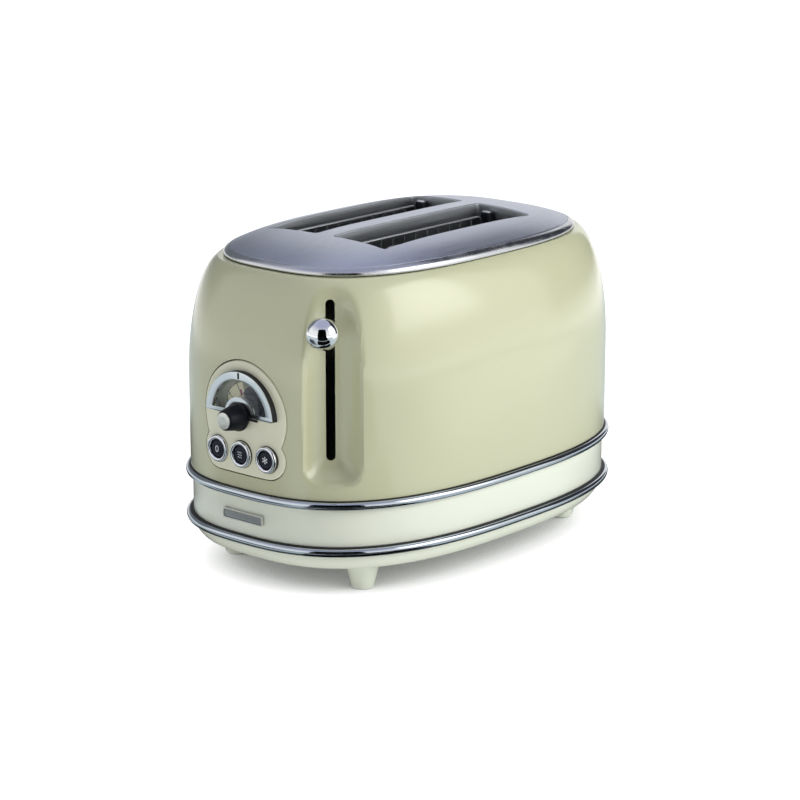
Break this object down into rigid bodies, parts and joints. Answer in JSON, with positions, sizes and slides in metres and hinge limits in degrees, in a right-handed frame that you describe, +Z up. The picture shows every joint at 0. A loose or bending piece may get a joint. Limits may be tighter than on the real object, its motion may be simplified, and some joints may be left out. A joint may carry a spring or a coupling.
{
  "type": "pop-up toaster",
  "caption": "Retro pop-up toaster: domed painted shell, chrome trim rings, cream base band, brushed slotted top plate, rotary browning dial, button row and corner lever",
  "frame": {"origin": "bottom centre of the bounding box, on the level the feet stand on", "axes": "+Z up; X runs along the length, with the dial and buttons facing -X; Y across, with the lever on the -X -Y corner"},
  "size_m": [0.313, 0.2, 0.2078],
  "materials": {
    "shell_paint": "glossy beige-green enamel",
    "cream_plastic": "warm cream gloss",
    "panel_cream": "cream satin gloss",
    "terminal_plastic": "off-white moulded",
    "chrome": "bright chrome plating",
    "dial_chrome": "bright chrome plated plastic",
    "brushed_top": "fine brushed stainless, lengthwise grain",
    "satin_silver": "satin silver",
    "black_plastic": "black satin",
    "button_plastic": "dark navy-black gloss with pale icons",
    "dial_print": "printed scale, cream and grey",
    "dial_window": "clear moulded window",
    "sheet_steel": "plain galvanised sheet",
    "wire_steel": "bright drawn wire",
    "mica": "mica sheet with ribbon winding",
    "circuit_board": "green laminate",
    "copper": "enamelled copper winding"
  },
  "bodies": {
    "housing": {"badge_plate": "satin_silver", "base_band": "cream_plastic", "base_screw_front_left": "wire_steel", "base_screw_front_right": "wire_steel", "base_screw_rear_left": "wire_steel", "base_screw_rear_right": "wire_steel", "base_tray": "cream_plastic", "browning_control": "black_plastic", "button_switches": "black_plastic", "chassis_front_plate": "sheet_steel", "chassis_rear_plate": "sheet_steel", "control_board": "circuit_board", "control_panel": "panel_cream", "cord_gland": "black_plastic", "defrost_bezel": "dial_chrome", "dial_bezel": "dial_chrome", "dial_scale": "dial_print", "dial_window": "dial_window", "element_centre": "mica", "element_left": "mica", "element_right": "mica", "foot_front_left": "cream_plastic", "foot_front_right": "cream_plastic", "foot_rear_left": "cream_plastic", "foot_rear_right": "cream_plastic", "guard_guide_left": "black_plastic", "guard_guide_right": "black_plastic", "guide_rod": "wire_steel", "heat_shield_left": "sheet_steel", "heat_shield_right": "sheet_steel", "latch_magnet_coil": "copper", "latch_magnet_core": "sheet_steel", "lift_spring": "wire_steel", "lower_trim_ring": "chrome", "outer_shell": "shell_paint", "power_board": "circuit_board", "reheat_bezel": "dial_chrome", "stop_bezel": "dial_chrome", "terminal_block": "terminal_plastic", "top_plate": "brushed_top", "upper_trim_ring": "chrome"},
    "carriage": {"carriage_bracket": "sheet_steel", "carriage_bush": "black_plastic", "lever_arm": "wire_steel", "lever_knob": "chrome", "bread_rack_left": "sheet_steel", "bread_rack_right": "sheet_steel", "armature_plate": "sheet_steel"},
    "guard_right_inner": {"bread_guard_right_inner": "wire_steel"},
    "guard_right_outer": {"bread_guard_right_outer": "wire_steel"},
    "guard_left_inner": {"bread_guard_left_inner": "wire_steel"},
    "guard_left_outer": {"bread_guard_left_outer": "wire_steel"},
    "browning_dial": {"browning_knob": "black_plastic", "knob_cap": "satin_silver", "knob_shaft": "wire_steel"},
    "stop_key": {"stop_button": "button_plastic"},
    "reheat_key": {"reheat_button": "button_plastic"},
    "defrost_key": {"defrost_button": "button_plastic"},
    "tray": {"crumb_tray": "sheet_steel", "crumb_tray_handle": "cream_plastic"}
  },
  "joints": [
    {"name": "carriage_slide", "type": "slide", "parent": "housing", "child": "carriage", "axis": [0, 0, 1], "range_m": [-0.075, 0.011], "stiffness_N_per_m": 60, "springref_m": 0.0245, "deforming": ["lift_spring"]},
    {"name": "guard_right_inner_slide", "type": "slide", "parent": "housing", "child": "guard_right_inner", "axis": [0, -1, 0], "range_m": [-0.0009, 0.0052]},
    {"name": "guard_right_outer_slide", "type": "slide", "parent": "housing", "child": "guard_right_outer", "axis": [0, 1, 0], "range_m": [-0.0009, 0.0052]},
    {"name": "guard_left_inner_slide", "type": "slide", "parent": "housing", "child": "guard_left_inner", "axis": [0, 1, 0], "range_m": [-0.0009, 0.0052]},
    {"name": "guard_left_outer_slide", "type": "slide", "parent": "housing", "child": "guard_left_outer", "axis": [0, -1, 0], "range_m": [-0.0009, 0.0052]},
    {"name": "browning_turn", "type": "hinge", "parent": "housing", "child": "browning_dial", "pos_m": [-0.1405, 0, 0.1077], "axis": [-1, 0, 0], "range_deg": [0, 180]},
    {"name": "stop_press", "type": "slide", "parent": "housing", "child": "stop_key", "axis": [1, 0, 0], "range_m": [0, 0.0025], "stiffness_N_per_m": 400, "springref_m": -0.0015},
    {"name": "reheat_press", "type": "slide", "parent": "housing", "child": "reheat_key", "axis": [1, 0, 0], "range_m": [0, 0.0025], "stiffness_N_per_m": 400, "springref_m": -0.0015},
    {"name": "defrost_press", "type": "slide", "parent": "housing", "child": "defrost_key", "axis": [1, 0, 0], "range_m": [0, 0.0025], "stiffness_N_per_m": 400, "springref_m": -0.0015},
    {"name": "tray_slide", "type": "slide", "parent": "housing", "child": "tray", "axis": [1, 0, 0], "range_m": [0, 0.19]}
  ],
  "couplings": [
    {"joint": "guard_right_inner_slide", "follows": "carriage_slide", "ratio": -0.0667},
    {"joint": "guard_right_outer_slide", "follows": "carriage_slide", "ratio": -0.0667},
    {"joint": "guard_left_inner_slide", "follows": "carriage_slide", "ratio": -0.0667},
    {"joint": "guard_left_outer_slide", "follows": "carriage_slide", "ratio": -0.0667}
  ]
}
